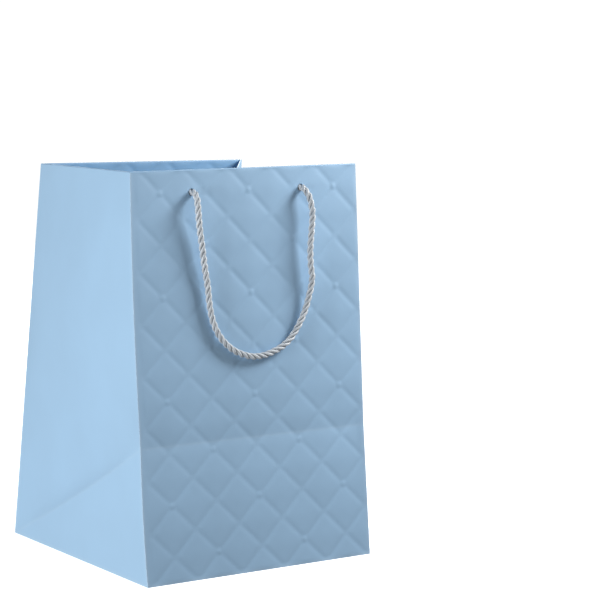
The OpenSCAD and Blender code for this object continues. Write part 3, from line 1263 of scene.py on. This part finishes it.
@dataclass(frozen=True)
class SatinCord:
    """Silver-white rayon yarn: smooth filaments that run along each strand and catch the light.

    The filaments are drawn coarser than real ones, at 14 round a strand, so that they show.
    gap_shade_range is the distance from a strand's innermost line, in turns, over which its painted
    shade between the strands gives way.
    """

    name: str = "silver_white_satin_yarn"
    bright: str = "#E9EDF0"
    dark: str = "#A7B1BB"
    gap_shade: str = "#66798A"
    filaments: float = 14.0
    filament_run: float = 0.6
    filament_slant: float = 20
    tone_range: tuple[float, float] = (0.34, 0.62)
    gap_shade_range: tuple[float, float] = (0.1, 0.27)
    bump_mm: float = 0.05
    roughness: float = 0.36
    sheen: float = 0.25
    sheen_roughness: float = 0.4

    def make(self) -> bpy.types.Material:
        """Builds the yarn's nodes: fine slanted lines in the strand's own map.

        Returns:
            The finish.
        """
        material, add = blank_material(self.name)
        fibre_map = add("UVMap", uv_map="fibre").outputs[0]
        # The yarns of a strand are twisted against its lay, so they run nearly along the rope.
        turned = (0, 0, math.radians(self.filament_slant))
        stretched = (self.filaments, self.filament_run, 1)
        slanted = add("Mapping", {"Vector": fibre_map, "Rotation": turned, "Scale": stretched})
        grain = {"Scale": 1.6, "Detail": 3.0, "Roughness": 0.6}
        lines = add("TexNoise", {"Vector": slanted.outputs[0], **grain}).outputs[0]
        limits = {"From Min": self.tone_range[0], "From Max": self.tone_range[1]}
        share = add("MapRange", {"Value": lines, **limits}).outputs[0]
        yarn = {"Factor": share, "A": linear(self.dark), "B": linear(self.bright)}
        colour = add("Mix", yarn, data_type="RGBA").outputs["Result"]
        # Painted shade: darker where the strands press on each other, half a turn from the outside.
        wrap = add("SeparateXYZ", {"Vector": fibre_map}).outputs[0]
        turn = add("Math", {0: wrap}, operation="FRACT").outputs[0]
        apart = add("Math", {0: turn, 1: 0.5}, operation="SUBTRACT").outputs[0]
        inner = add("Math", {0: apart}, operation="ABSOLUTE").outputs[0]
        span = {"From Min": self.gap_shade_range[0], "From Max": self.gap_shade_range[1]}
        fall = {"Value": inner, **span, "To Min": 1.0, "To Max": 0.0}
        pressed = add("MapRange", fall, interpolation_type="SMOOTHSTEP").outputs[0]
        shaded = {"Factor": pressed, "A": colour, "B": linear(self.gap_shade)}
        colour = add("Mix", shaded, data_type="RGBA").outputs["Result"]
        bump = add("Bump", {"Height": lines, "Distance": self.bump_mm * MM, "Strength": 1.0})
        shader = add(
            "BsdfPrincipled",
            {
                "Base Color": colour,
                "Roughness": self.roughness,
                "Normal": bump.outputs[0],
                "Sheen Weight": self.sheen,
                "Sheen Roughness": self.sheen_roughness,
            },
        )
        add("OutputMaterial", {"Surface": shader.outputs[0]})
        return material


# --- Studio --------------------------------------------------------------------------------------


@dataclass(frozen=True)
class SoftLight:
    """A square soft box."""

    name: str
    place: tuple[float, float, float]
    aim: tuple[float, float, float]
    size: float
    power: float

    def build(self) -> None:
        """Adds the light, turned to its aim."""
        lamp = bpy.data.lights.new(self.name, "AREA")
        lamp.shape, lamp.size, lamp.energy = "SQUARE", self.size, self.power
        piece = bpy.data.objects.new(self.name, lamp)
        bpy.context.scene.collection.objects.link(piece)
        piece.location = self.place
        piece.visible_camera = False
        direction = Vector(self.aim) - Vector(self.place)
        piece.rotation_euler = direction.to_track_quat("-Z", "Y").to_euler()


@dataclass(frozen=True)
class Studio:
    """Camera, soft lights, white surroundings and a plain pale floor.

    fill is the surroundings' strength as a light, and backdrop what the camera sees of them.
    """

    camera_place: tuple[float, float, float] = (-0.9865, -1.5333, 0.4432)
    camera_way: tuple[float, float, float] = (0.5729, 0.8082, -0.1363)
    camera_roll: float = 1.086
    lens: float = 143.72
    sensor: float = 36.0
    white: str = "#FFFFFF"
    fill: float = 0.24
    backdrop: float = 1.05
    floor_half: float = 4.0
    floor_colour: str = "#F7F8F9"
    floor_roughness: float = 0.9
    floor_glow: float = 0.85
    lights: tuple[SoftLight, ...] = (
        SoftLight("left_softbox", (-1.15, -0.16, 0.1), (-0.1, 0.0, 0.15), 0.55, 14.5),
        SoftLight("right_softbox", (0.6, -0.36, 0.7), (0.02, -0.08, 0.16), 0.32, 7.4),
        SoftLight("back_softbox", (0.9, 1.3, 0.9), (0.0, 0.1, 0.15), 0.8, 12.0),
    )

    def add_camera(self) -> None:
        """Adds the camera and makes it the scene's."""
        data = bpy.data.cameras.new("camera")
        data.lens, data.sensor_width = self.lens, self.sensor
        camera = bpy.data.objects.new("camera", data)
        bpy.context.scene.collection.objects.link(camera)
        aim = Vector(self.camera_way).to_track_quat("-Z", "Y").to_matrix().to_4x4()
        roll = Matrix.Rotation(math.radians(self.camera_roll), 4, "Z")
        camera.matrix_world = Matrix.Translation(self.camera_place) @ aim @ roll
        bpy.context.scene.camera = camera

    def add_surroundings(self) -> None:
        """Adds the white world, which is dimmer as a light than as a background."""
        world = bpy.data.worlds.new("studio")
        bpy.context.scene.world = world
        world.use_nodes = True
        tree = world.node_tree
        tree.nodes.clear()
        seen = add_node(tree, "LightPath").outputs["Is Camera Ray"]
        fill, backdrop = (
            add_node(tree, "Background", {"Color": linear(self.white), "Strength": strength})
            for strength in (self.fill, self.backdrop)
        )
        both = {0: seen, 1: fill.outputs[0], 2: backdrop.outputs[0]}
        mixed = add_node(tree, "MixShader", both)
        add_node(tree, "OutputWorld", {"Surface": mixed.outputs[0]})

    def add_floor(self) -> None:
        """Adds the floor, which isn't part of the object."""
        corners = self.floor_half * np.array([(-1, -1, 0), (1, -1, 0), (1, 1, 0), (-1, 1, 0)])
        floor = new_object("floor", corners, [np.array([[0, 1, 2, 3]])])
        material, add = blank_material("white_sweep")
        shader = add(
            "BsdfPrincipled",
            {
                "Base Color": linear(self.floor_colour),
                "Roughness": self.floor_roughness,
                "Emission Color": linear(self.white),
                "Emission Strength": self.floor_glow,
            },
        )
        add("OutputMaterial", {"Surface": shader.outputs[0]})
        floor.data.materials.append(material)
        floor.visible_diffuse = floor.visible_glossy = False

    def build(self) -> None:
        """Adds everything round the bag."""
        bpy.context.scene.view_settings.view_transform = "Standard"
        self.add_camera()
        self.add_surroundings()
        self.add_floor()
        for light in self.lights:
            light.build()


# --- The whole bag -------------------------------------------------------------------------------


@dataclass
class GiftBag:
    """The bag: four walls, their hems, the base leaves, the cards and the two handles."""

    form: BagForm
    frame: dict[str, Any]
    hem_depth: float = 2.0 * MM
    gusset_hem_depth: float = 1.4 * MM
    wall_pitch: float = 1.25 * MM
    gusset_pitch: float = 1.6 * MM
    back_holes: HolePunch = field(
        default_factory=lambda: HolePunch(drop=17.1 * MM, shift=-0.9 * MM)
    )

    def __post_init__(self) -> None:
        """Makes the finishes."""
        # Art paper under a matt film: the embossing shows by soft shading, with no hard shine.
        self.embossed = LaminatedPaper("matt_laminated_embossed_paper", "#A3C8E8", "#CFE2F2").make()
        # The same paper unembossed: an even, slightly lighter blue.
        self.plain = LaminatedPaper(
            "matt_laminated_plain_paper", "#A6CBEA", "#D3E6F5", cloud=0.02
        ).make()
        # The sheet's back, without film: duller, with a little more fibre.
        self.inside = LaminatedPaper(
            "uncoated_inner_paper", "#8DB6D9", "#A9C8E2",
            roughness=0.8, sheen=0.0, bump_mm=0.04, folds=False,
        ).make()
        # The laminated side turned in over the rim: deeper blue, painted shade for the bag's shade
        # over it.
        self.shaded_hem_paper = LaminatedPaper(
            "matt_laminated_paper_turned_in_painted_shade", "#8AB7DC", "#C4DCF0", cloud=0.02
        ).make()
        self.board = GreyBoard().make()
        self.cord = SatinCord().make()

    def handles(self) -> list[RopeHandle]:
        """Places the two handles on their walls.

        Returns:
            The front handle and the back one, not built yet.
        """
        low, high = self.form.low("front_panel"), self.form.high("front_panel")
        back = self.form.high("back_panel")
        upper = self.form.panel_height - self.form.crease_height
        rim_y = high[1] - self.form.paper
        crease_y = low[1] + self.form.crease_set_back
        left_x = self.form.back_rim_shift_left - high[0]
        lean = math.asin((rim_y - crease_y) / upper)
        middle = (left_x + back[0]) / 2
        level = back[2] - self.form.back_rim_drop_right / 2
        return [
            RopeHandle(
                "front_rope",
                "front_handle",
                HandlePlace((0, rim_y, high[2]), lean),
                Body.FRONT_HANDLE,
                ("front_left_knot", "front_right_knot"),
            ),
            RopeHandle(
                "back_rope",
                "back_handle",
                HandlePlace((middle, back[1], level), 0.0, behind=True),
                Body.BACK_HANDLE,
                ("back_right_knot", "back_left_knot"),
            ),
        ]

    def build_walls(self) -> None:
        """The four walls, each with the hem that rolls over its rim."""
        front, right = FrontWall(self.form), RightGusset(self.form)
        back, left = BackWall(self.form), LeftGusset(self.form)
        ring = [
            ("front", "front_panel", front, Slot.EMBOSSED, self.hem_depth, HolePunch()),
            ("right", "right_gusset", right, Slot.PLAIN, self.gusset_hem_depth, None),
            ("back", "back_panel", back, Slot.EMBOSSED, self.hem_depth, self.back_holes),
            ("left", "left_gusset", left, Slot.PLAIN, self.gusset_hem_depth, None),
        ]
        for place, (side, node, wall, slot, depth, punch) in enumerate(ring):
            _, _, before, _, depth_before, _ = ring[place - 1]
            _, _, after, _, depth_after, _ = ring[(place + 1) % len(ring)]
            pitch = self.wall_pitch if punch else self.gusset_pitch
            sheet = WallPiece(
                f"{side}_wall", node, wall, before, after, depth / 2, pitch=pitch, punch=punch
            )
            finish = self.embossed if slot is Slot.EMBOSSED else self.plain
            dress(sheet.build(), finish, Body.BAG)
            hem = HemPiece(
                f"{side}_hem_turn", f"{side}_hem", wall, before, after, depth,
                depth_before, depth_after, punch=punch,
            )
            dress(hem.build(), self.shaded_hem_paper, Body.BAG)

    def dress_frame(self) -> None:
        """Gives the nodes of the frame that stay on show their finishes."""
        finishes = {
            "seam_flap": self.inside,
            "front_rim_card": self.board,
            "back_rim_card": self.board,
            "base_card": self.board,
            "front_base_flap": self.plain,
            "back_base_flap": self.plain,
            "left_base_flap": self.inside,
            "right_base_flap": self.inside,
        }
        for name, material in finishes.items():
            node = self.frame["nodes"][name]
            node.data.materials.clear()
            node.data.materials.append(material)
            LOG.info("%s: kept from the frame, %s", name, material.name)

    def build(self) -> None:
        """Makes every piece, the ropes first."""
        for handle in self.handles():
            handle.build(self.cord)
        self.build_walls()
        self.dress_frame()


def main() -> None:
    """Loads the frame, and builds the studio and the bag."""
    logging.basicConfig(level=logging.INFO, format="%(name)s: %(message)s")
    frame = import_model()
    Studio().build()
    GiftBag(BagForm(), frame).build()


if __name__ == "__main__":
    main()
